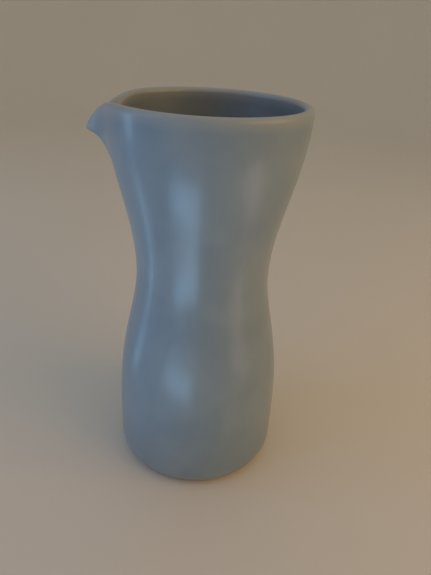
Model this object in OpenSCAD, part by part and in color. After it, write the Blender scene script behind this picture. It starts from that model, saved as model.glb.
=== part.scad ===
// Waisted ceramic pitcher with a pinched pouring spout.
// The origin is on the vessel's axis at the level of the table. +Z is up and the spout points along -X.
// The pot is one fired casting of clay. Its three coats of glaze are separate layers on that clay.

/* [Overall size] */
// Height of the rim above the table
height = 240; // [210:1:280]
// Largest radius of the lower belly
belly_r = 55.6; // [52:0.1:60]
// Radius at the waist
waist_r = 41.6; // [38:0.1:48]
// Height of the waist above the table
waist_z = 141.5; // [130:0.5:150]
// Outer radius of the round part of the rim
rim_r = 55.65; // [52:0.1:60]
// How long the belly stays full before it draws in to the waist
belly_fullness = 1.9; // [1.5:0.05:2.2]

/* [Wall and foot] */
// Thickness of the wall, glaze included
wall = 5.4; // [4.5:0.1:6.5]
// Thickness of the floor between the cavity and the recess under it
floor_thickness = 6.5; // [5:0.5:9]
// Radius of the rounded outer edge of the base
base_edge_r = 10.5; // [8:0.5:12]
// Radius of the fillet between the floor and the wall inside
inner_fillet_r = 14; // [10:0.5:18]
// Width of the flat, bare ring of clay that stands on the table
foot_ring_width = 6.5; // [5:0.5:9]
// Depth of the glazed recess inside the foot ring
recess_depth = 2.5; // [2:0.25:4]

/* [Spout] */
// How far the nose of the spout stands out past the round rim
spout_reach = 14; // [8:0.5:16]
// How far the nose of the spout lies below the rim
spout_drop = 17; // [8:0.5:18]
// Angle round the rim over which the outward pull of the spout dies away
spout_spread = 6; // [4:0.25:10]
// Angle over which the nose of the spout is rounded
spout_nose = 6.5; // [4:0.25:9]
// Angle round the rim over which the downward pull of the lip dies away
lip_spread = 6.2; // [4:0.25:10]
// Angle over which the lowest point of the lip is rounded
lip_nose = 3.8; // [3:0.1:8]
// Height of wall that the spout is drawn from
spout_depth = 80; // [70:1:85]
// Share of the outward pull that runs on down the wall as a keel
keel_share = 0.25; // [0.1:0.05:0.4]
// Length of wall over which the rest of the outward pull dies away
flare_length = 13.3; // [10:0.1:20]
// Share of its width that the spout loses towards the foot of the keel
keel_taper = 0.56; // [0.2:0.01:0.6]
// Extra thickness of clay under the channel of the nose
nose_thickening = 1.8; // [0:0.1:2.5]
// Gentle dip of the rim on both sides of the spout
rim_dip = 1.8; // [0:0.1:3]
// Angle round the rim that the gentle dip covers
rim_dip_spread = 27; // [20:1:32]

/* [Glaze] */
// Thickness of a fired coat of glaze
glaze = 0.4; // [0.3:0.05:0.6]
// Angle up the rounded base edge at which the outer glaze starts
glaze_line_angle = 28; // [20:1:40]
// Angle up the cove of the recess at which its glaze ends
recess_line_angle = 30; // [20:1:45]

/* [Hidden] */
$fn = 96;

// Colours of the preview
clay_colour = [0.78, 0.72, 0.63];
glaze_colour = [0.45, 0.50, 0.53];
liner_colour = [0.42, 0.46, 0.48];

// Heights that follow from the driving sizes
lip_r = wall / 2;
lip_z = height - lip_r;
lip_centre_r = rim_r - lip_r;
collar_z = height - spout_depth;
floor_z = recess_depth + floor_thickness;
fillet_z = floor_z + inner_fillet_r;
base_centre_r = belly_r - base_edge_r;
foot_inner_r = base_centre_r - foot_ring_width;
recess_flat_r = foot_inner_r - recess_depth;
// How far the lowest point of the collar is shifted into the wall, outside and inside
outer_shift = 0.04;
inner_shift = 0.15;
// Step over which the slope of the outline is measured
slope_step = 0.1;

// Numbers of facets: along the wall, over the lip, in the round corners and round the spout
wall_steps = 22;
collar_steps = 12;
lip_steps = 4;
corner_steps = 6;
bare_edge_steps = 3;
bare_cove_steps = 2;
spout_steps = 44;
// Above 1, these crowd the facets towards the lip and towards the nose
lip_crowding = 1.8;
nose_crowding = 1.45;
half_turn = 180;
quarter_turn = 90;

// Half a cosine wave from 0 to 1
function wave(u) = (1 - cos(half_turn * u)) / 2;

// Outer radius of the round body at height z
function body_r(z) = z < waist_z
    ? belly_r + (waist_r - belly_r) * wave(pow(z / waist_z, belly_fullness))
    : waist_r + (rim_r - waist_r) * wave(min(1, (z - waist_z) / (lip_z - waist_z)));

// Slope of the outline at height z, and the level distance across a layer of thickness t there
function body_slope(z) = (body_r(z + slope_step) - body_r(z - slope_step)) / (2 * slope_step);
function across(z, t) = t * sqrt(1 + pow(body_slope(z), 2));

// Point of the round wall at height z and a depth below the glazed outer surface
function wall_point(z, depth) = [body_r(z) - across(z, depth), z];

// Points of an arc of radius r, from angle a to angle b
function arc(centre, r, a, b, steps) =
    [for (i = [0:steps]) let (t = a + (b - a) * i / steps) centre + r * [cos(t), sin(t)]];

// Heights of the rings of facets, upwards, without the start itself, where a round corner ends
function lower_heights(start) = [for (i = [1:wall_steps]) start + (collar_z - start) * i / wall_steps];
collar_heights = [
    for (i = [0:collar_steps]) lip_z - (lip_z - collar_z) * pow(1 - i / collar_steps, lip_crowding)
];

function reversed(list) = [for (i = [len(list) - 1:-1:0]) list[i]];

// Wall of the collar at a depth, upwards. Its lowest point is shifted by a hair into the wall it
// stands on, so that the flats of the collar end inside the true circles of that wall
function collar_line(depth, shift) = [
    for (z = collar_heights) wall_point(z, depth) + [z == collar_z ? shift : 0, 0]
];
function outer_face(depth) = collar_line(depth, -outer_shift);
function inner_face(depth) = collar_line(depth, inner_shift);

// Wall under the collar at a depth, upwards
function lower_line(start, depth) = [for (z = lower_heights(start)) wall_point(z, depth)];

// Rounded base edge at a depth, from the glaze line up
function base_edge(depth) = arc(
    [base_centre_r, base_edge_r], base_edge_r - depth,
    glaze_line_angle - quarter_turn, 0, corner_steps
);

// Bare part of the base edge, from the table up to the glaze line
bare_edge = arc(
    [base_centre_r, base_edge_r], base_edge_r,
    -quarter_turn, glaze_line_angle - quarter_turn, bare_edge_steps
);

// Inner fillet and floor at a depth under the liner, from the wall to the axis
function inner_floor(depth) = let (
    centre = [body_r(fillet_z) - wall - inner_fillet_r, fillet_z]
) concat(
    arc(centre, inner_fillet_r + depth, 0, -quarter_turn, corner_steps),
    [[0, floor_z - depth]]
);

// Ceiling and cove of the recess at a depth above its glaze, from the axis outwards
function recess(depth) = concat(
    [[0, recess_depth + depth]],
    arc([recess_flat_r, 0], recess_depth + depth, quarter_turn, recess_line_angle, corner_steps)
);

// Bare part of the recess's cove, down to the table
bare_cove = arc([recess_flat_r, 0], recess_depth, recess_line_angle, 0, bare_cove_steps);

// How strongly the spout pulls at an angle from its nose, for a spread and a rounding in degrees
function pull(angle, spread, nose) = exp((nose - sqrt(angle * angle + nose * nose)) / spread);

// How much of the gentle dip the rim has at an angle from the nose
function dip(angle) = exp(-pow(angle / rim_dip_spread, 2));

// Place of a point [r, z] of the round section when it is turned to an angle from the nose:
// the wall is pulled out and down, most at the lip, and not at all at the foot of the collar
function drawn(p, angle) = let (
    down = (height - p[1]) / spout_depth,
    fade = 1 - down,
    inward = (body_r(p[1]) - p[0]) / wall,
    flare = (1 - keel_share) * exp(-down * spout_depth / flare_length) + keel_share,
    spread = spout_spread * (1 - keel_taper * down),
    outward = spout_reach * pull(angle, spread, spout_nose) * flare * fade * fade,
    droop = (spout_drop - nose_thickening * inward) * pull(angle, lip_spread, lip_nose),
    lower = droop + rim_dip * dip(angle),
    r = p[0] + outward
) [-r * cos(angle), -r * sin(angle), p[1] - lower * pow(fade, 3)];

// Angles of the facets round the vessel, close together at the nose
nose_angles = [
    for (i = [1 - spout_steps:spout_steps]) sign(i) * half_turn * pow(abs(i) / spout_steps, nose_crowding)
];

// Collar: the section swept once round, drawn out at the spout
module collar(section) {
    n = len(section);
    turns = len(nose_angles);
    points = [for (a = nose_angles) each [for (p = section) drawn(p, a)]];
    faces = [
        for (k = [0:turns - 1], i = [0:n - 1]) let (
            next = (k + 1) % turns,
            a = k * n + i,
            b = k * n + (i + 1) % n,
            c = next * n + (i + 1) % n,
            d = next * n + i
        ) each [[a, b, c], [a, c, d]]
    ];
    polyhedron(points = points, faces = faces, convexity = 6);
}

module turned(section) {
    rotate_extrude()
        polygon(section);
}

// Outer and inner quarter of the lip at a depth, both from the crest down, without the wall's own
// last point
function lip_quarter(depth, side) = [
    for (i = [lip_steps:-1:1]) let (a = quarter_turn * i / lip_steps)
        [lip_centre_r + side * (lip_r - depth) * cos(a), lip_z + (lip_r - depth) * sin(a)]
];
function outer_lip(depth) = lip_quarter(depth, 1);
function inner_lip(depth) = lip_quarter(depth, -1);

// Section of the outer coat over the collar: up its glazed face and down the clay
outer_coat = concat(
    outer_face(0), reversed(outer_lip(0)), outer_lip(glaze), reversed(inner_face(glaze))
);

// Section of the liner over the collar: up the clay and down its glazed face
inner_coat = concat(
    outer_face(wall - glaze), reversed(inner_lip(glaze)), inner_lip(0), reversed(inner_face(wall))
);

// Section of the clay in the collar. The crest belongs to both quarters, so one copy of it is left out
collar_clay = concat(
    outer_face(glaze), reversed(outer_lip(glaze)), [for (i = [1:lip_steps - 1]) inner_lip(glaze)[i]],
    reversed(inner_face(wall - glaze))
);

// The fired casting: foot ring, floor, wall, and lip with its spout
module clay_body() {
    color(clay_colour) {
        turned(concat(
            recess(glaze), bare_cove, bare_edge, base_edge(glaze), lower_line(base_edge_r, glaze),
            reversed(lower_line(fillet_z, wall - glaze)), inner_floor(glaze)));
        collar(collar_clay);
    }
}

// Coat outside, from the bare foot up to the crest of the lip
module outer_glaze() {
    color(glaze_colour) {
        turned(concat(
            base_edge(0), lower_line(base_edge_r, 0),
            reversed(lower_line(base_edge_r, glaze)), reversed(base_edge(glaze))));
        collar(outer_coat);
    }
}

// Poured liner, from the crest of the lip down over the floor
module inner_glaze() {
    color(liner_colour) {
        turned(concat(
            reversed(lower_line(fillet_z, wall)), inner_floor(0),
            reversed(inner_floor(glaze)), lower_line(fillet_z, wall - glaze)));
        collar(inner_coat);
    }
}

// Coat in the recess inside the foot ring
module underside_glaze() {
    color(glaze_colour)
        turned(concat(recess(0), reversed(recess(glaze))));
}

clay_body();
outer_glaze();
inner_glaze();
underside_glaze();
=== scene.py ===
"""Waisted stoneware pitcher with a pinched spout, glazed inside and out, standing on a plain studio floor.

The outline of the round body and the pull of the spout follow the same rules as the CAD model of the part.
Each layer of the pot is a section in the plane through the axis, which Geometry Nodes sweep round the spout.
"""
import math

import bmesh
import bpy
from bpy.props import FloatProperty, FloatVectorProperty, IntProperty, PointerProperty
from mathutils import Matrix, Vector


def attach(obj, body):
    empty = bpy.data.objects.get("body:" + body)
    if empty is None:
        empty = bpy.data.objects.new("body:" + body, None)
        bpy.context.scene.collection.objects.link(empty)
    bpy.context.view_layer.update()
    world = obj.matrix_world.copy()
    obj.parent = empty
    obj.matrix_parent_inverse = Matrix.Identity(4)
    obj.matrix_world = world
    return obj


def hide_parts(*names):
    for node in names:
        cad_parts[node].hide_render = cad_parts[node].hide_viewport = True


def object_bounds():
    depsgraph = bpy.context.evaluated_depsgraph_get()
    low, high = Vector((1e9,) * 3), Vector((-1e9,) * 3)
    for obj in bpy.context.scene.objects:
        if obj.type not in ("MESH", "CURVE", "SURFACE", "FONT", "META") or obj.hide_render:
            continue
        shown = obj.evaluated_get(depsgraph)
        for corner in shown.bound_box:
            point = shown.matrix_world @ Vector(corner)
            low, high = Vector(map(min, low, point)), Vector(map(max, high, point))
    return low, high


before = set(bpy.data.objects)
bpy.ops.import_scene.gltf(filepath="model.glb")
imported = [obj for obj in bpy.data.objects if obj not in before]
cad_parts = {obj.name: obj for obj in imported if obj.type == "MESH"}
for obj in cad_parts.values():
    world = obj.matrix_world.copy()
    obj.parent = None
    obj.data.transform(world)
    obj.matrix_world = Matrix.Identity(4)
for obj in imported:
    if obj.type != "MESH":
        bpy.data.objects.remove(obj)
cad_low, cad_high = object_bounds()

bl_info = {
    "name": "Stoneware Pitcher",
    "version": (1, 0, 0),
    "blender": (4, 5, 0),
    "location": "View3D > Sidebar > Pitcher",
    "description": "Builds a glazed stoneware pitcher, layer by layer, and a plain studio round it",
    "category": "Add Mesh",
}

MM = 0.001
MICRON = 1e-6
QUARTER = math.pi / 2
BODY = "root"

MERGE = 1 * MICRON  # points closer than this become one
SHARP = math.radians(35)  # edges that bend more than this stay crisp
RECESS_TURNS = 160  # faces round the small coat in the recess
FLOOR_TURNS = 96  # faces round the floor
FLOOR_RINGS = 4  # rings of the flat floor
BEND_STEPS = 16  # steps of the bend up to the backdrop


def length(name, description, default):
    """A size in metres that the user may change."""
    return FloatProperty(
        name=name, description=description, default=default, min=0.0, unit="LENGTH", precision=4)


def angle(name, description, degrees):
    """An angle that the user gives in degrees."""
    return FloatProperty(name=name, description=description, default=math.radians(degrees), subtype="ANGLE")


def share(name, description, default, highest=1.0):
    """A plain number from nothing up."""
    return FloatProperty(name=name, description=description, default=default, min=0.0, max=highest)


def power(name, description, default):
    """The power of a light, in watts."""
    return FloatProperty(name=name, description=description, default=default, min=0.0, unit="POWER")


def colour(name, description, default):
    """A linear colour."""
    return FloatVectorProperty(
        name=name, description=description, default=default, size=3, min=0.0, max=1.0, subtype="COLOR")


class PitcherShape(bpy.types.PropertyGroup):
    """Sizes of the round vessel."""

    height: length("Height", "Height of the rim above the table", cad_high.z)
    belly_radius: length("Belly radius", "Largest radius of the lower belly", 55.6 * MM)
    waist_radius: length("Waist radius", "Radius at the waist", 41.6 * MM)
    waist_height: length("Waist height", "Height of the waist above the table", 141.5 * MM)
    rim_radius: length("Rim radius", "Outer radius of the round part of the rim", cad_high.x)
    belly_fullness: share("Belly fullness", "How long the belly stays full before it draws in", 1.9, 4.0)
    wall: length("Wall", "Thickness of the wall, glaze included", 5.4 * MM)
    floor: length("Floor", "Thickness of the floor over the recess", 6.5 * MM)
    base_edge: length("Base edge", "Radius of the rounded outer edge of the base", 10.5 * MM)
    inner_fillet: length("Inner fillet", "Radius of the fillet between floor and wall inside", 14 * MM)
    foot_ring: length("Foot ring", "Width of the bare flat ring of clay that stands on the table", 6.5 * MM)
    recess: length("Recess", "Depth of the glazed recess inside the foot ring", 2.5 * MM)
    glaze: length("Glaze", "Thickness of a fired coat of glaze", 0.4 * MM)
    glaze_line: angle("Glaze line", "Angle up the rounded base edge at which the outer glaze starts", 28)
    recess_line: angle("Recess line", "Angle up the cove of the recess at which its glaze ends", 30)


class SpoutShape(bpy.types.PropertyGroup):
    """How the lip is drawn out into the spout."""

    reach: length("Reach", "How far the nose stands out past the round rim", 14 * MM)
    drop: length("Drop", "How far the nose lies below the rim", 17 * MM)
    depth: length("Depth", "Height of wall that the spout is drawn from", 80 * MM)
    flare_length: length("Flare length", "Height over which the outward pull dies away", 13.3 * MM)
    nose_thickening: length("Nose thickening", "Extra clay under the channel of the nose", 1.8 * MM)
    rim_dip: length("Rim dip", "Gentle dip of the rim on both sides of the spout", 1.8 * MM)
    spread: angle("Spread", "Angle over which the outward pull dies away", 6)
    nose: angle("Nose", "Angle over which the nose is rounded", 6.5)
    lip_spread: angle("Lip spread", "Angle over which the downward pull dies away", 6.2)
    lip_nose: angle("Lip nose", "Angle over which the lowest point of the lip is rounded", 3.8)
    dip_spread: angle("Dip spread", "Angle that the gentle dip covers", 27)
    keel_share: share("Keel share", "Share of the outward pull that runs on down as a keel", 0.25)
    keel_taper: share("Keel taper", "Share of its width that the keel loses on its way down", 0.56)
    wobble: share("Wobble", "Unevenness of the hand-finished wall, as a share of its radius", 0.003)
    wobble_size: length("Wobble size", "Distance between two swells of that unevenness", 60 * MM)
    wobble_seed: share("Wobble seed", "Which unevenness the wall has", 4.0, 100.0)
    crowding: share("Crowding", "How closely the faces crowd together at the nose", 1.3, 2.0)
    turns: IntProperty(name="Turns", description="Faces round the vessel", default=320, min=32, max=400)


class GlazeLook(bpy.types.PropertyGroup):
    """Colours and finish of the glaze and the clay."""

    main: colour("Glaze", "Main colour of the glaze", (0.268, 0.352, 0.415))
    deep: colour("Pooled glaze", "Colour where the glaze lies thicker", (0.228, 0.312, 0.385))
    thin: colour("Thin glaze", "Colour where the glaze thins over an edge", (0.470, 0.480, 0.450))
    haze: colour("Haze", "Colour of the fine cloudiness in the glaze", (0.330, 0.370, 0.380))
    # Painted shade: the inside glaze is the same glaze as outside, darkened here to stand for the shade
    # inside the pot.
    shaded_liner: colour("Liner", "Main colour of the glaze inside", (0.215, 0.250, 0.270))
    clay: colour("Clay", "Colour of the bare fired clay", (0.560, 0.470, 0.360))
    clay_dark: colour("Clay grain", "Colour of the darker grains in the clay", (0.330, 0.250, 0.180))
    roughness: share("Roughness", "How matte the glaze is", 0.27)
    sheen_change: share("Sheen change", "How much the roughness changes over the glaze", 0.06)
    coat: share("Gloss", "Strength of the glassy skin on the glaze", 0.25)
    coat_roughness: share("Gloss roughness", "How matte the glassy skin is", 0.20)
    haze_strength: share("Haze strength", "How much the fine cloudiness shows", 0.16)
    thin_strength: share("Thin strength", "How much the thin glaze shows at an edge", 0.55)
    thin_lip: share("Thin lip", "Reach of the thin glaze below the rim, in thicknesses of the wall", 1.6, 4.0)
    thin_foot: length("Thin foot", "Height over which the glaze is thin at the foot", 3 * MM)
    liner_depth: share("Liner depth", "Brightness of the pooled glaze inside, as a share of the rest", 0.9)
    worn_height: length("Worn height", "Height of clay that the table wears", 0.6 * MM)


class StudioLook(bpy.types.PropertyGroup):
    """The floor, the lights and the camera."""

    floor: colour("Floor", "Colour of the floor", (0.840, 0.750, 0.640))
    floor_shade: share("Floor shade", "Brightness of the darker clouds in the floor", 0.94)
    room_tint: colour("Room tint", "Colour of the light from the room above", (0.94, 1.0, 0.97))
    room: share("Room", "Strength of the light from the room above", 0.39, 10.0)
    window_tint: colour("Window tint", "Colour of the light from the left", (0.14, 0.42, 1.0))
    window: power("Window", "Light from the window on the left", 2.2)
    lamp_tint: colour("Lamp tint", "Colour of the light from the right", (1.0, 0.56, 0.17))
    lamp: power("Lamp", "Light from the lamp on the right", 3.2)
    front_tint: colour("Front card tint", "Colour of the card in front", (0.33, 0.64, 1.0))
    front: power("Front card", "Light from the card on the floor in front", 0.25)
    side_tint: colour("Side card tint", "Colour of the card at the left", (0.35, 0.70, 1.0))
    side: power("Side card", "Light from the card on the floor at the left", 0.045)
    far_side_tint: colour("Far card tint", "Colour of the card far on the left", (0.35, 0.70, 1.0))
    far_side: power("Far card", "Light from the card that the flank of the neck mirrors", 0.22)
    right_tint: colour("Right card tint", "Colour of the card at the right", (1.0, 0.78, 0.70))
    right: power("Right card", "Light from the card on the floor at the right", 0.10)
    sweep_radius: length("Sweep radius", "Distance at which the floor starts to rise into the backdrop", 1.3)
    sweep_bend: length("Sweep bend", "Radius of the bend between floor and backdrop", 0.8)
    sweep_height: length("Sweep height", "Height of the backdrop", 2.0)
    distance: share("Camera distance", "Camera to axis, in heights of the pitcher", 1.1018, 20.0)
    rise: share("Camera rise", "Height of the camera, in heights of the pitcher", 1.1453, 20.0)
    azimuth: angle("Camera azimuth", "Angle of the camera round the pitcher", 3.0)
    pitch: angle("Camera pitch", "How far the camera looks down", 29.47)
    roll: angle("Camera roll", "How far the camera is tipped", 3.47)
    aim: angle("Camera aim", "How far the camera is turned to the right of the axis", 1.92)
    field: angle("Field of view", "Angle that the camera sees from top to bottom", 63.45)


# ---------------------------------------------------------------- sections of the round vessel


def wave(u):
    """Half a cosine wave from 0 to 1."""
    return (1 - math.cos(math.pi * u)) / 2


def lip_level(shape):
    """Height of the centre of the rounded lip."""
    return shape.height - shape.wall / 2


def body_radius(shape, z):
    """Outer radius of the round body at height z."""
    if z < shape.waist_height:
        u = max(z, 0) / shape.waist_height
        drawn_in = wave(u ** shape.belly_fullness)
        return shape.belly_radius + (shape.waist_radius - shape.belly_radius) * drawn_in
    u = min(1, (z - shape.waist_height) / (lip_level(shape) - shape.waist_height))
    return shape.waist_radius + (shape.rim_radius - shape.waist_radius) * wave(u)


def across(shape, z, thickness):
    """Level distance across a layer at height z, from its thickness square to the wall."""
    step = 0.1 * MM
    slope = (body_radius(shape, z + step) - body_radius(shape, z - step)) / (2 * step)
    return thickness * math.hypot(1, slope)


def arc(centre, radius, start, end, steps):
    """Points (r, z) of an arc, both ends included."""
    angles = [start + (end - start) * i / steps for i in range(steps + 1)]
    return [(centre[0] + radius * math.cos(a), centre[1] + radius * math.sin(a)) for a in angles]


class Sections:
    """Runs of points (r, z) that the sections of all the layers share."""

    wall_steps = 84
    wall_crowding = 1.35
    lip_steps = 16
    corner_steps = 12
    floor_steps = 10
    bead_steps = 4

    def __init__(self, shape):
        self.shape = shape
        self.base_centre = (shape.belly_radius - shape.base_edge, shape.base_edge)
        self.floor_level = shape.recess + shape.floor
        self.fillet_level = self.floor_level + shape.inner_fillet
        self.recess_centre = (self.base_centre[0] - shape.foot_ring - shape.recess, 0.0)

    def wall(self, start, depth):
        """Wall upwards from the end of a round corner, without that end, and close together at the lip."""
        top = lip_level(self.shape)
        shares = [(1 - i / self.wall_steps) ** self.wall_crowding for i in range(1, self.wall_steps + 1)]
        heights = [top - (top - start) * s for s in shares]
        return [(body_radius(self.shape, z) - across(self.shape, z, depth), z) for z in heights]

    def lip(self, depth, side):
        """Quarter of the lip from the crest down to the wall, without the wall's own last point."""
        centre = (self.shape.rim_radius - self.shape.wall / 2, lip_level(self.shape))
        radius = self.shape.wall / 2 - depth
        quarter = arc((0, 0), radius, QUARTER, 0, self.lip_steps)[:-1]
        return [(centre[0] + side * x, centre[1] + z) for x, z in quarter]

    def base_edge(self, depth):
        """Rounded base edge upwards from the glaze line."""
        start = self.shape.glaze_line - QUARTER
        return arc(self.base_centre, self.shape.base_edge - depth, start, 0, self.corner_steps)

    def bare_edge(self):
        """Bare part of the base edge, from the table up to the glaze line."""
        end = self.shape.glaze_line - QUARTER
        return arc(self.base_centre, self.shape.base_edge, -QUARTER, end, self.corner_steps)

    def inner_floor(self, depth):
        """Fillet and floor inside, from the wall to the axis."""
        shape = self.shape
        centre_r = body_radius(shape, self.fillet_level) - shape.wall - shape.inner_fillet
        centre, radius = (centre_r, self.fillet_level), shape.inner_fillet + depth
        fillet = arc(centre, radius, 0, -QUARTER, self.corner_steps)
        steps = self.floor_steps
        flat = [(centre_r * (steps - i) / steps, self.floor_level - depth) for i in range(1, steps + 1)]
        return fillet + flat

    def recess(self, depth):
        """Ceiling and cove of the recess, from the axis to the end of its glaze."""
        centre_r = self.recess_centre[0]
        level = self.shape.recess + depth
        flat = [(centre_r * i / self.floor_steps, level) for i in range(self.floor_steps)]
        return flat + arc(self.recess_centre, level, QUARTER, self.shape.recess_line, self.corner_steps)

    def bare_cove(self):
        """Bare part of the recess's cove, down to the table."""
        return arc(self.recess_centre, self.shape.recess, self.shape.recess_line, 0, self.bead_steps)

    def bead(self, start, end):
        """Rounded edge of a coat, bulging out between its two faces, without their own points."""
        centre = ((start[0] + end[0]) / 2, (start[1] + end[1]) / 2)
        radius = math.dist(start, end) / 2
        first = math.atan2(start[1] - centre[1], start[0] - centre[0])
        return arc(centre, radius, first, first + math.pi, self.bead_steps)[1:-1]

    def outer_coat(self):
        """Closed section of the glaze outside: up its face, over to the crest and down the clay."""
        glaze, edge = self.shape.glaze, self.shape.base_edge
        face = self.base_edge(0) + self.wall(edge, 0) + self.lip(0, 1)[::-1]
        clay = self.lip(glaze, 1) + self.wall(edge, glaze)[::-1] + self.base_edge(glaze)[::-1]
        return face + clay + self.bead(clay[-1], face[0]) + face[:1]

    def liner_coat(self):
        """Section of the glaze inside, from the axis along the clay to the crest, and back down its face."""
        shape, start = self.shape, self.fillet_level
        clay_depth = shape.wall - shape.glaze
        clay = self.inner_floor(shape.glaze)[::-1] + self.wall(start, clay_depth)
        face = self.lip(0, -1) + self.wall(start, shape.wall)[::-1] + self.inner_floor(0)
        return clay + self.lip(shape.glaze, -1)[::-1] + face

    def clay(self):
        """Section of the casting, from the axis under the foot over the lip to the axis inside."""
        shape = self.shape
        outside = self.base_edge(shape.glaze) + self.wall(shape.base_edge, shape.glaze)
        inside = self.wall(self.fillet_level, shape.wall - shape.glaze)[::-1]
        lip = self.lip(shape.glaze, 1)[::-1] + self.lip(shape.glaze, -1)[1:]
        foot = self.recess(shape.glaze) + self.bare_cove() + self.bare_edge()
        return foot + outside + lip + inside + self.inner_floor(shape.glaze)

    def underside_coat(self):
        """Section of the glaze in the recess, from the axis along its face and back along the clay."""
        face, clay = self.recess(0), self.recess(self.shape.glaze)[::-1]
        return face + self.bead(face[-1], clay[0]) + clay


# ---------------------------------------------------------------- node trees from plain arithmetic


def math_node(tree, operation, *values):
    """The result of a Math node, as a wire."""
    node = tree.nodes.new("ShaderNodeMath")
    node.operation = operation
    for value, socket in zip(values, node.inputs):
        feed(tree, value, socket)
    return Wire(tree, node.outputs[0])


class Wire:
    """A number in a node tree. Arithmetic on wires adds Math nodes to the tree."""

    def __init__(self, tree, socket):
        self.tree = tree
        self.socket = socket

    def calc(self, operation, *others):
        """The result of a Math node that takes this wire first."""
        return math_node(self.tree, operation, self, *others)

    def __add__(self, other):
        return self.calc("ADD", other)

    def __sub__(self, other):
        return self.calc("SUBTRACT", other)

    def __rsub__(self, other):
        return math_node(self.tree, "SUBTRACT", other, self)

    def __mul__(self, other):
        return self.calc("MULTIPLY", other)

    def __truediv__(self, other):
        return self.calc("DIVIDE", other)

    def __rtruediv__(self, other):
        return math_node(self.tree, "DIVIDE", other, self)

    def __neg__(self):
        return self.calc("MULTIPLY", -1)

    def __pow__(self, other):
        return self.calc("POWER", other)

    __radd__ = __add__
    __rmul__ = __mul__

    def exp(self):
        """The natural exponential."""
        return self.calc("EXPONENT")

    def root(self):
        """The square root."""
        return self.calc("SQRT")

    def least(self, other):
        """The smaller of two numbers."""
        return self.calc("MINIMUM", other)

    def most(self, other):
        """The larger of two numbers."""
        return self.calc("MAXIMUM", other)


def feed(tree, value, socket):
    """Links a wire or a socket to a socket, or sets the socket's own value."""
    if isinstance(value, Wire):
        tree.links.new(value.socket, socket)
    elif isinstance(value, bpy.types.NodeSocket):
        tree.links.new(value, socket)
    else:
        socket.default_value = value


def add_node(tree, kind, settings=None, **inputs):
    """A node with its settings and its inputs, which are named with underscores for spaces."""
    node = tree.nodes.new(kind)
    for name, value in (settings or {}).items():
        setattr(node, name, value)
    for name, value in inputs.items():
        feed(tree, value, node.inputs[name.replace("_", " ")])
    return node


def add_socket(tree, name, kind, direction="INPUT", default=None):
    """An input or an output of a node group."""
    socket = tree.interface.new_socket(name=name, in_out=direction, socket_type="NodeSocket" + kind)
    if default is not None:
        socket.default_value = default
    return socket


# ---------------------------------------------------------------- the sweep


SWEEP_INPUTS = (
    "height", "reach", "drop", "depth", "flare_length", "nose_thickening", "rim_dip", "spread", "nose",
    "lip_spread", "lip_nose", "dip_spread", "keel_share", "keel_taper", "wobble", "wobble_size",
    "wobble_seed", "crowding",
)


def pull(turned, spread, nose):
    """How strongly the spout pulls at an angle from its nose."""
    return ((nose - (turned * turned + nose * nose).root()) / spread).exp()


def sampled(tree, section, field, kind, row):
    """A field of the section, read at a row."""
    settings = {"data_type": kind, "domain": "POINT"}
    node = add_node(tree, "GeometryNodeSampleIndex", settings, Geometry=section, Index=row)
    feed(tree, field, node.inputs["Value"])
    return node.outputs["Value"]


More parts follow.
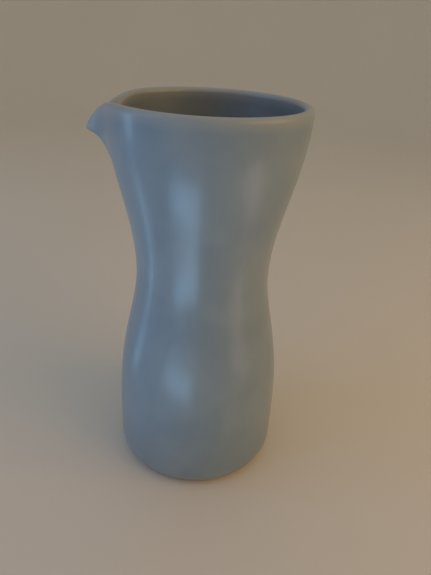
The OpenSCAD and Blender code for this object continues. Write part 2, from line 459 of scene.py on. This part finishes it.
def build_sweep():
    """Geometry Nodes that sweep a section round the axis and draw it out and down at the spout."""
    tree = bpy.data.node_groups.new("Spout sweep", "GeometryNodeTree")
    add_socket(tree, "Section", "Geometry")
    add_socket(tree, "Material", "Material")
    add_socket(tree, "turns", "Int")
    for name in SWEEP_INPUTS:
        add_socket(tree, name, "Float")
    add_socket(tree, "Layer", "Geometry", "OUTPUT")
    given = tree.nodes.new("NodeGroupInput").outputs
    v = {name: Wire(tree, given[name]) for name in (*SWEEP_INPUTS, "turns")}

    # One row of the grid for each point of the section, and one column more than the faces round
    section = given["Section"]
    count = add_node(tree, "GeometryNodeAttributeDomainSize", {"component": "MESH"}, Geometry=section)
    columns = v["turns"] + 1
    grid = add_node(tree, "GeometryNodeMeshGrid", Vertices_X=count.outputs["Point Count"], Vertices_Y=columns)
    index = Wire(tree, tree.nodes.new("GeometryNodeInputIndex").outputs[0])
    row = ((index + 0.5) / columns).calc("FLOOR")
    column = index - row * columns

    position = tree.nodes.new("GeometryNodeInputPosition").outputs[0]
    place = sampled(tree, section, position, "FLOAT_VECTOR", row)
    split = add_node(tree, "ShaderNodeSeparateXYZ", Vector=place)
    r, z = Wire(tree, split.outputs["X"]), Wire(tree, split.outputs["Z"])
    marks = {}
    for name in ("inward", "thin"):
        named = add_node(tree, "GeometryNodeInputNamedAttribute", {"data_type": "FLOAT"}, Name=name)
        marks[name] = Wire(tree, sampled(tree, section, named.outputs["Attribute"], "FLOAT", row))

    # Angle from the nose, with the columns close together there
    u = column / v["turns"] * 2 - 1
    turned = u.calc("SIGN") * u.calc("ABSOLUTE") ** v["crowding"] * math.pi

    # How far the spout draws this point out and down
    down = (v["height"] - z) / v["depth"]
    fade = (1 - down).most(0)
    flare = (1 - v["keel_share"]) * (-(down * v["depth"] / v["flare_length"])).exp() + v["keel_share"]
    width = v["spread"] * (1 - v["keel_taper"] * down.least(1))
    outward = v["reach"] * pull(turned, width, v["nose"]) * flare * fade * fade
    dip = (-((turned / v["dip_spread"]) ** 2)).exp() * v["rim_dip"]
    channel = v["drop"] - v["nose_thickening"] * marks["inward"]
    droop = channel * pull(turned, v["lip_spread"], v["lip_nose"])
    lower = (droop + dip) * fade ** 3

    # The point on the uneven round wall, and then where the spout takes it
    cos, sin = turned.calc("COSINE"), turned.calc("SINE")
    round_place = add_node(tree, "ShaderNodeCombineXYZ", X=-(r * cos), Y=-(r * sin), Z=z)
    noise = add_node(tree, "ShaderNodeTexNoise", {"noise_dimensions": "4D"}, Vector=round_place.outputs[0],
                     W=v["wobble_seed"], Scale=1 / v["wobble_size"], Detail=1.0)
    uneven = 1 + (Wire(tree, noise.outputs[0]) - 0.5) * 2 * v["wobble"]
    drawn_r = r * uneven + outward
    drawn = add_node(tree, "ShaderNodeCombineXYZ", X=-(drawn_r * cos), Y=-(drawn_r * sin), Z=z - lower)

    # The mesh itself, closed at the seam and the poles, facing outwards and crisp where it bends
    swept = add_node(tree, "GeometryNodeSetPosition", Geometry=grid.outputs["Mesh"],
                     Position=drawn.outputs[0])
    marked = add_node(tree, "GeometryNodeStoreNamedAttribute", {"data_type": "FLOAT", "domain": "POINT"},
                      Geometry=swept.outputs[0], Name="thin", Value=marks["thin"])
    closed = add_node(tree, "GeometryNodeMergeByDistance", Geometry=marked.outputs[0], Distance=MERGE)
    outwards = add_node(tree, "GeometryNodeFlipFaces", Mesh=closed.outputs[0])
    soft = add_node(tree, "GeometryNodeSetShadeSmooth", {"domain": "FACE"}, Geometry=outwards.outputs[0])
    bend = Wire(tree, tree.nodes.new("GeometryNodeInputMeshEdgeAngle").outputs["Unsigned Angle"])
    sharp = bend.calc("GREATER_THAN", SHARP)
    crisp = add_node(tree, "GeometryNodeSetShadeSmooth", {"domain": "EDGE"}, Geometry=soft.outputs[0],
                     Selection=sharp, Shade_Smooth=False)
    real = add_node(tree, "GeometryNodeRealizeInstances", Geometry=crisp.outputs[0])
    dressed = add_node(tree, "GeometryNodeSetMaterial", Geometry=real.outputs[0], Material=given["Material"])
    out = tree.nodes.new("NodeGroupOutput")
    tree.links.new(dressed.outputs[0], out.inputs[0])
    return tree


def section_object(name, points, shape, look):
    """A section as a chain of edges, with how far in each point lies and how thin the glaze is there."""
    mesh = bpy.data.meshes.new(name)
    mesh.from_pydata([(r, 0, z) for r, z in points], [(i, i + 1) for i in range(len(points) - 1)], [])
    inward = mesh.attributes.new("inward", "FLOAT", "POINT")
    thin = mesh.attributes.new("thin", "FLOAT", "POINT")
    glaze_start = shape.base_edge * (1 - math.cos(shape.glaze_line))
    for i, (r, z) in enumerate(points):
        inward.data[i].value = (body_radius(shape, z) - r) / shape.wall
        crest = 1 - (shape.height - z) / (look.thin_lip * shape.wall)
        foot = 1 - abs(z - glaze_start) / look.thin_foot
        thin.data[i].value = max(0, crest, foot if z < shape.base_edge else 0)
    piece = bpy.data.objects.new(name, mesh)
    bpy.context.scene.collection.objects.link(piece)
    return piece


def set_input(modifier, name, value):
    """Sets a modifier's input by the identifier of the socket with that name."""
    for item in modifier.node_group.interface.items_tree:
        if item.item_type == "SOCKET" and item.in_out == "INPUT" and item.name == name:
            modifier[item.identifier] = value
            return
    raise KeyError(name)


def sweep(name, points, material, turns=None):
    """A closed layer of the pot, as a plain mesh."""
    scene = bpy.context.scene
    settings, shape = scene.pitcher_spout, scene.pitcher_shape
    draft = section_object(name + "_section", points, shape, scene.pitcher_look)
    modifier = draft.modifiers.new("Sweep", "NODES")
    modifier.node_group = bpy.data.node_groups.get("Spout sweep") or build_sweep()
    set_input(modifier, "Material", material)
    set_input(modifier, "turns", turns or settings.turns)
    for key in SWEEP_INPUTS:
        set_input(modifier, key, getattr(shape if key == "height" else settings, key))
    graph = bpy.context.evaluated_depsgraph_get()
    mesh = bpy.data.meshes.new_from_object(draft.evaluated_get(graph), depsgraph=graph)
    bpy.data.objects.remove(draft)
    mesh.name = name
    check_closed(mesh)
    piece = bpy.data.objects.new(name, mesh)
    bpy.context.scene.collection.objects.link(piece)
    return piece


def check_closed(mesh):
    """Raises an error if a layer is open or inside out."""
    shell = bmesh.new()
    shell.from_mesh(mesh)
    loose = sum(not edge.is_manifold for edge in shell.edges)
    volume = shell.calc_volume(signed=True)
    shell.free()
    if loose or volume <= 0:
        raise RuntimeError(f"{mesh.name} has {loose} open edges and a volume of {volume:.3g}")


def settle(piece, slot, *nodes):
    """Fixes a finished piece to the frame in place of its CAD nodes."""
    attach(piece, BODY)
    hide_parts(*nodes)


# ---------------------------------------------------------------- shared effects


def new_group(name, inputs, outputs):
    """An empty shader node group, with its input sockets and the node that takes its results."""
    tree = bpy.data.node_groups.new(name, "ShaderNodeTree")
    for socket, kind, default in inputs:
        add_socket(tree, socket, kind, default=default)
    for socket, kind in outputs:
        add_socket(tree, socket, kind, "OUTPUT")
    return tree, tree.nodes.new("NodeGroupInput").outputs, tree.nodes.new("NodeGroupOutput").inputs


def noise(tree, vector, scale, detail=2.0, roughness=0.5, distortion=0.0):
    """Soft noise from 0 to 1, as a wire."""
    node = add_node(tree, "ShaderNodeTexNoise", Vector=vector, Scale=scale, Detail=detail,
                    Roughness=roughness, Distortion=distortion)
    return Wire(tree, node.outputs[0])


def ramp(tree, value, low, high):
    """0 below low, 1 above high, and smooth between them."""
    node = add_node(tree, "ShaderNodeMapRange", {"interpolation_type": "SMOOTHSTEP"}, Value=value,
                    From_Min=low, From_Max=high)
    return Wire(tree, node.outputs["Result"])


def mottle_group():
    """Clouds where the glaze pooled in the kiln, a fine haze within them, and a slow change of sheen."""
    tree, given, out = new_group(
        "Kiln mottle",
        [("Vector", "Vector", None), ("Cloud Scale", "Float", 30.0), ("Cloud Low", "Float", 0.34),
         ("Cloud High", "Float", 0.66), ("Haze Scale", "Float", 110.0), ("Sheen Scale", "Float", 20.0)],
        [("Clouds", "Float"), ("Haze", "Float"), ("Sheen", "Float")])
    broad = noise(tree, given["Vector"], given["Cloud Scale"], distortion=0.4)
    feed(tree, ramp(tree, broad, given["Cloud Low"], given["Cloud High"]), out["Clouds"])
    feed(tree, noise(tree, given["Vector"], given["Haze Scale"], 1.0), out["Haze"])
    feed(tree, noise(tree, given["Vector"], given["Sheen Scale"], 0.0), out["Sheen"])
    return tree


def break_group():
    """Where the glaze runs thin over an edge: the edge's own mark, made ragged."""
    tree, given, out = new_group(
        "Glaze break",
        [("Vector", "Vector", None), ("Thin", "Float", 0.0), ("Raggedness", "Float", 0.35),
         ("Rag Scale", "Float", 160.0), ("First Break", "Float", 0.05)],
        [("Break", "Float")])
    thin = Wire(tree, given["Thin"])
    ragged = noise(tree, given["Vector"], given["Rag Scale"], 3.0, 0.6) - 0.5
    mask = thin + ragged * Wire(tree, given["Raggedness"]) * thin
    feed(tree, ramp(tree, mask, given["First Break"], 1.0), out["Break"])
    return tree


def skin_group():
    """The skin of a satin glaze: slow swells and a fine orange peel, as a height in metres."""
    tree, given, out = new_group(
        "Satin skin",
        [("Vector", "Vector", None), ("Swell", "Float", 60 * MICRON), ("Swell Scale", "Float", 45.0),
         ("Peel", "Float", 2 * MICRON), ("Peel Scale", "Float", 420.0)],
        [("Height", "Float")])
    swell = (noise(tree, given["Vector"], given["Swell Scale"]) - 0.5) * Wire(tree, given["Swell"])
    peel = (noise(tree, given["Vector"], given["Peel Scale"], 1.0) - 0.5) * Wire(tree, given["Peel"])
    feed(tree, swell + peel, out["Height"])
    return tree


def grain_group():
    """Grains and pores of bare fired clay."""
    tree, given, out = new_group(
        "Clay grain",
        [("Vector", "Vector", None), ("Scale", "Float", 1400.0), ("Depth", "Float", 30 * MICRON),
         ("Cloud Scale", "Float", 70.0), ("Cloud Share", "Float", 0.25),
         ("Grain Low", "Float", 0.40), ("Grain High", "Float", 0.62)],
        [("Grains", "Float"), ("Height", "Float")])
    grains = noise(tree, given["Vector"], given["Scale"], 4.0, 0.7)
    cloudy = noise(tree, given["Vector"], given["Cloud Scale"], 3.0)
    share_of_clouds = Wire(tree, given["Cloud Share"])
    patchy = grains * (1 - share_of_clouds) + cloudy * share_of_clouds
    feed(tree, ramp(tree, patchy, given["Grain Low"], given["Grain High"]), out["Grains"])
    feed(tree, (grains - 0.5) * Wire(tree, given["Depth"]), out["Height"])
    return tree


EFFECTS = {
    "Kiln mottle": mottle_group,
    "Glaze break": break_group,
    "Satin skin": skin_group,
    "Clay grain": grain_group,
}


def effect(tree, name, **inputs):
    """A shared effect, placed in a material with its own values."""
    group = bpy.data.node_groups.get(name) or EFFECTS[name]()
    return add_node(tree, "ShaderNodeGroup", {"node_tree": group}, **inputs).outputs


# ---------------------------------------------------------------- materials


GLASS_IOR = 1.5
CLAY_ROUGHNESS = 0.92
GRAIN_STRENGTH = 0.6
WEAR_SCALE = 120.0
WEAR_STRENGTH = 0.6
WEAR_POLISH = 0.25
FLOOR_ROUGHNESS = 0.42
FLOOR_ROUGHNESS_CHANGE = 0.06
FLOOR_CLOUD_SCALE = 3.0


def new_material(name):
    """A material with only a shader and its output, and the pattern coordinates of the piece."""
    material = bpy.data.materials.new(name)
    material.use_nodes = True
    tree = material.node_tree
    shader = tree.nodes["Principled BSDF"]
    place = tree.nodes.new("ShaderNodeTexCoord").outputs["Object"]
    return material, tree, shader, place


def blend(tree, amount, first, second):
    """A mix of two colours, each a socket or a plain colour."""
    node = tree.nodes.new("ShaderNodeMix")
    node.data_type = "RGBA"
    feed(tree, amount, node.inputs["Factor"])
    for socket, value in ((node.inputs["A"], first), (node.inputs["B"], second)):
        colour_sockets = [s for s in node.inputs if s.name == socket.name and s.type == "RGBA"]
        feed(tree, value if isinstance(value, bpy.types.NodeSocket) else (*value, 1.0), colour_sockets[0])
    return [s for s in node.outputs if s.type == "RGBA"][0]


def add_relief(tree, height, shader):
    """Bumps on the surface, from a height in metres."""
    bump = add_node(tree, "ShaderNodeBump", Height=height, Strength=1.0, Distance=1.0)
    feed(tree, bump.outputs[0], shader.inputs["Normal"])


def glaze_material(name, main, deep):
    """A satin glaze: pooled clouds, a faint haze, a pale edge where it is thin, and an uneven skin."""
    look = bpy.context.scene.pitcher_look
    material, tree, shader, place = new_material(name)
    mottle = effect(tree, "Kiln mottle", Vector=place)
    thin = add_node(tree, "ShaderNodeAttribute", {"attribute_name": "thin"}).outputs["Fac"]
    edge = Wire(tree, effect(tree, "Glaze break", Vector=place, Thin=thin)["Break"])
    pooled = blend(tree, mottle["Clouds"], main, deep)
    hazy = blend(tree, Wire(tree, mottle["Haze"]) * look.haze_strength, pooled, tuple(look.haze))
    broken = blend(tree, edge * look.thin_strength, hazy, tuple(look.thin))
    feed(tree, broken, shader.inputs["Base Color"])
    sheen = Wire(tree, mottle["Sheen"]) * look.sheen_change
    feed(tree, sheen + look.roughness, shader.inputs["Roughness"])
    add_relief(tree, effect(tree, "Satin skin", Vector=place)["Height"], shader)
    shader.inputs["IOR"].default_value = GLASS_IOR
    shader.inputs["Coat Weight"].default_value = look.coat
    shader.inputs["Coat Roughness"].default_value = look.coat_roughness
    return material


def clay_material():
    """Bare fired clay: grainy, matte and a little darker on the ring it stands on."""
    look = bpy.context.scene.pitcher_look
    material, tree, shader, place = new_material("Bare stoneware")
    grain = effect(tree, "Clay grain", Vector=place)
    height = Wire(tree, add_node(tree, "ShaderNodeSeparateXYZ", Vector=place).outputs["Z"])
    worn = (1 - ramp(tree, height, 0.0, look.worn_height)) * noise(tree, place, WEAR_SCALE, 3.0)
    body = blend(tree, Wire(tree, grain["Grains"]) * GRAIN_STRENGTH, tuple(look.clay), tuple(look.clay_dark))
    feed(tree, blend(tree, worn * WEAR_STRENGTH, body, tuple(look.clay_dark)), shader.inputs["Base Color"])
    feed(tree, CLAY_ROUGHNESS - worn * WEAR_POLISH, shader.inputs["Roughness"])
    add_relief(tree, grain["Height"], shader)
    return material


def floor_material():
    """A plain pale floor with a faint cloudiness."""
    studio = bpy.context.scene.pitcher_studio
    material, tree, shader, place = new_material("Pale floor")
    cloudy = noise(tree, place, FLOOR_CLOUD_SCALE, 3.0)
    darker = tuple(studio.floor_shade * c for c in studio.floor)
    feed(tree, blend(tree, cloudy, tuple(studio.floor), darker), shader.inputs["Base Color"])
    feed(tree, FLOOR_ROUGHNESS + cloudy * FLOOR_ROUGHNESS_CHANGE, shader.inputs["Roughness"])
    return material


# ---------------------------------------------------------------- one operator a piece


class PITCHER_OT_clay(bpy.types.Operator):
    """Casts the clay: foot ring, floor, wall, lip and spout"""

    bl_idname = "pitcher.cast_clay"
    bl_label = "Cast the clay"

    def execute(self, context):
        sections = Sections(context.scene.pitcher_shape)
        settle(sweep("clay_casting", sections.clay(), clay_material()), "bare_clay", "clay_body")
        return {"FINISHED"}


class PITCHER_OT_outer_glaze(bpy.types.Operator):
    """Coats the outside, from the bare foot to the crest of the lip"""

    bl_idname = "pitcher.coat_outside"
    bl_label = "Glaze the outside"

    def execute(self, context):
        look, sections = context.scene.pitcher_look, Sections(context.scene.pitcher_shape)
        glaze = glaze_material("Satin grey-blue glaze", tuple(look.main), tuple(look.deep))
        settle(sweep("outer_coat", sections.outer_coat(), glaze), "outer_glaze", "outer_glaze")
        return {"FINISHED"}


class PITCHER_OT_liner_glaze(bpy.types.Operator):
    """Pours the glaze inside, from the crest of the lip over the wall and floor, in a darker colour that is
    painted shade
    """

    bl_idname = "pitcher.pour_liner"
    bl_label = "Glaze the inside"

    def execute(self, context):
        look, sections = context.scene.pitcher_look, Sections(context.scene.pitcher_shape)
        # Painted shade: both colours here are the glaze darkened for the shade inside the pot, and the pooled
        # copy is a real mottle on top of it.
        deep = tuple(look.liner_depth * c for c in look.shaded_liner)
        glaze = glaze_material("Satin liner glaze", tuple(look.shaded_liner), deep)
        settle(sweep("liner_coat", sections.liner_coat(), glaze), "liner_glaze", "inner_glaze")
        return {"FINISHED"}


class PITCHER_OT_underside_glaze(bpy.types.Operator):
    """Glazes the recess inside the foot ring"""

    bl_idname = "pitcher.coat_underside"
    bl_label = "Glaze the recess"

    def execute(self, context):
        look, sections = context.scene.pitcher_look, Sections(context.scene.pitcher_shape)
        glaze = glaze_material("Recess glaze", tuple(look.deep), tuple(look.main))
        piece = sweep("underside_coat", sections.underside_coat(), glaze, RECESS_TURNS)
        settle(piece, "outer_glaze", "underside_glaze")
        return {"FINISHED"}


# ---------------------------------------------------------------- studio


# Place, target, and width and height of each light, in heights of the pitcher
LIGHTS = {
    "window": ((-3.8, -1.2, 2.5), (0, 0, 0.5), (3.6, 3.6)),
    "lamp": ((3.6, -1.4, 2.6), (0, 0, 0.5), (3.6, 3.6)),
    "front": ((-0.43, -1.02, 0.01), (-0.43, -1.02, 1.0), (0.72, 0.46)),
    "side": ((-1.25, -0.05, 0.01), (-1.25, -0.05, 1.0), (0.90, 0.16)),
    "far_side": ((-3.4, -0.15, 0.35), (0, 0, 0.9), (0.50, 0.70)),
    "right": ((1.30, -0.80, 0.01), (1.30, -0.80, 1.0), (0.70, 0.70)),
}


def add_light(name, unit, watts, tint):
    """A soft rectangular light that the camera doesn't see."""
    place, target, size = LIGHTS[name]
    data = bpy.data.lights.new(name, "AREA")
    data.shape = "RECTANGLE"
    data.size, data.size_y = size[0] * unit, size[1] * unit
    data.energy = watts
    data.color = tint
    light = bpy.data.objects.new(name, data)
    light.location = Vector(place) * unit
    aim = Vector(target) - Vector(place)
    light.rotation_euler = aim.to_track_quat("-Z", "Y").to_euler()
    light.visible_camera = False
    bpy.context.scene.collection.objects.link(light)


def add_floor(studio):
    """A round floor that rises into a backdrop all round, as one smooth sheet."""
    radius, bend = studio.sweep_radius, studio.sweep_bend
    outline = [(radius * i / FLOOR_RINGS, 0.0) for i in range(1, FLOOR_RINGS)]
    outline += arc((radius, bend), bend, -QUARTER, 0, BEND_STEPS)
    outline.append((radius + bend, studio.sweep_height))
    angles = [2 * math.pi * i / FLOOR_TURNS for i in range(FLOOR_TURNS)]
    points = [(0, 0, 0)] + [(r * math.cos(a), r * math.sin(a), z) for r, z in outline for a in angles]
    faces = []
    for i in range(FLOOR_TURNS):
        after = (i + 1) % FLOOR_TURNS
        faces.append((0, 1 + i, 1 + after))
        for ring in range(len(outline) - 1):
            near = 1 + ring * FLOOR_TURNS
            far = near + FLOOR_TURNS
            faces.append((near + i, far + i, far + after, near + after))
    mesh = bpy.data.meshes.new("floor")
    mesh.from_pydata(points, [], faces)
    mesh.shade_smooth()
    mesh.materials.append(floor_material())
    floor = bpy.data.objects.new("floor", mesh)
    bpy.context.scene.collection.objects.link(floor)


def add_camera(shape, studio):
    """The camera, placed by its distance, height, azimuth and three angles of its own."""
    data = bpy.data.cameras.new("Camera")
    data.lens = data.sensor_width / 2 / math.tan(studio.field / 2)
    data.clip_start = 10 * MM
    camera = bpy.data.objects.new("Camera", data)
    level = math.cos(studio.pitch)
    ahead = Vector((
        math.sin(studio.aim) * level, math.cos(studio.aim) * level, -math.sin(studio.pitch)))
    right = Vector((math.cos(studio.aim), -math.sin(studio.aim), 0))
    up = right.cross(ahead)
    cos, sin = math.cos(studio.roll), math.sin(studio.roll)
    axes = Matrix((cos * right + sin * up, cos * up - sin * right, -ahead)).transposed()
    place = Vector((0, -studio.distance * shape.height, studio.rise * shape.height))
    turn = Matrix.Rotation(studio.azimuth, 4, "Z")
    camera.matrix_world = turn @ Matrix.Translation(place) @ axes.to_4x4()
    bpy.context.scene.collection.objects.link(camera)
    bpy.context.scene.camera = camera


class PITCHER_OT_studio(bpy.types.Operator):
    """Lays the floor and sets the lights and the camera"""

    bl_idname = "pitcher.set_studio"
    bl_label = "Set the studio"

    def execute(self, context):
        scene = context.scene
        studio, shape = scene.pitcher_studio, scene.pitcher_shape
        add_floor(studio)
        for name in LIGHTS:
            add_light(name, shape.height, getattr(studio, name), getattr(studio, name + "_tint"))
        world = bpy.data.worlds.new("Room")
        world.use_nodes = True
        sky = world.node_tree.nodes["Background"]
        sky.inputs["Color"].default_value = (*studio.room_tint, 1.0)
        sky.inputs["Strength"].default_value = studio.room
        scene.world = world
        scene.view_settings.view_transform = "Standard"
        add_camera(shape, studio)
        return {"FINISHED"}


class PITCHER_PT_panel(bpy.types.Panel):
    """Everything that the pitcher is made with"""

    bl_label = "Pitcher"
    bl_idname = "PITCHER_PT_panel"
    bl_space_type = "VIEW_3D"
    bl_region_type = "UI"
    bl_category = "Pitcher"

    def draw(self, context):
        for title, group in GROUPS.items():
            box = self.layout.box()
            box.label(text=title)
            settings = getattr(context.scene, group[0])
            for name in group[1].__annotations__:
                box.prop(settings, name)
        for operator in OPERATORS:
            self.layout.operator(operator.bl_idname)


GROUPS = {
    "Vessel": ("pitcher_shape", PitcherShape),
    "Spout": ("pitcher_spout", SpoutShape),
    "Glaze and clay": ("pitcher_look", GlazeLook),
    "Studio": ("pitcher_studio", StudioLook),
}
OPERATORS = (PITCHER_OT_studio, PITCHER_OT_clay, PITCHER_OT_outer_glaze, PITCHER_OT_liner_glaze,
             PITCHER_OT_underside_glaze)


def register():
    """Registers every class and gives the scene its settings."""
    for name, group in GROUPS.values():
        bpy.utils.register_class(group)
        setattr(bpy.types.Scene, name, PointerProperty(type=group))
    for item in (*OPERATORS, PITCHER_PT_panel):
        bpy.utils.register_class(item)


def unregister():
    """Takes the settings and the classes away again."""
    for item in (PITCHER_PT_panel, *reversed(OPERATORS)):
        bpy.utils.unregister_class(item)
    for name, group in reversed(GROUPS.values()):
        delattr(bpy.types.Scene, name)
        bpy.utils.unregister_class(group)


def main():
    """Makes everything, in order."""
    register()
    bpy.ops.pitcher.set_studio()
    bpy.ops.pitcher.cast_clay()
    bpy.ops.pitcher.coat_outside()
    bpy.ops.pitcher.pour_liner()
    bpy.ops.pitcher.coat_underside()
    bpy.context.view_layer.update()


if __name__ == "__main__":
    main()
